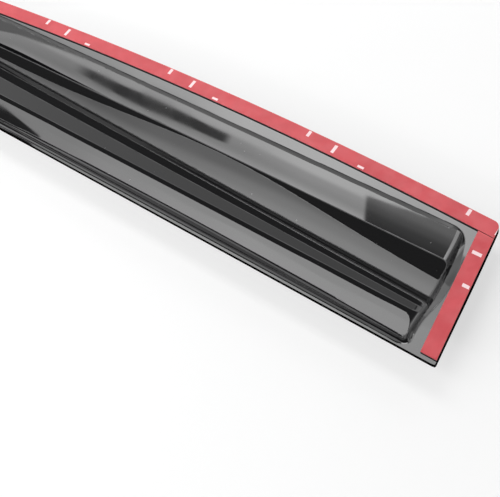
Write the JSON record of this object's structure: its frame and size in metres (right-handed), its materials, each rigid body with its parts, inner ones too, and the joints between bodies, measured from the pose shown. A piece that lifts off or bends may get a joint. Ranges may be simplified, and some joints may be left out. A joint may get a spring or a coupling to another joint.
{
  "type": "window rain deflector",
  "caption": "Arched window rain deflector formed from smoked sheet, with long hollows, a ridge between them, and foam tape with red liner along its top edge and ends.",
  "frame": {"origin": "middle of the underside: the middle of the part's box in X and Y, on the flat underside of the main hollow that it rests on", "axes": "+X along the lower edge towards the leaning rear end, +Y from the lower edge up to the arched top edge, +Z out of the taped face"},
  "size_m": [0.5298, 0.099, 0.0203],
  "materials": {
    "smoked_acrylic": "high gloss",
    "tape_foam": "matte",
    "tape_liner": "satin"
  },
  "bodies": {
    "root": {"shield": "smoked_acrylic", "top_tape_foam": "tape_foam", "top_tape_liner": "tape_liner", "rear_end_tape_foam": "tape_foam", "rear_end_tape_liner": "tape_liner", "front_end_tape_foam": "tape_foam", "front_end_tape_liner": "tape_liner"}
  },
  "joints": []
}
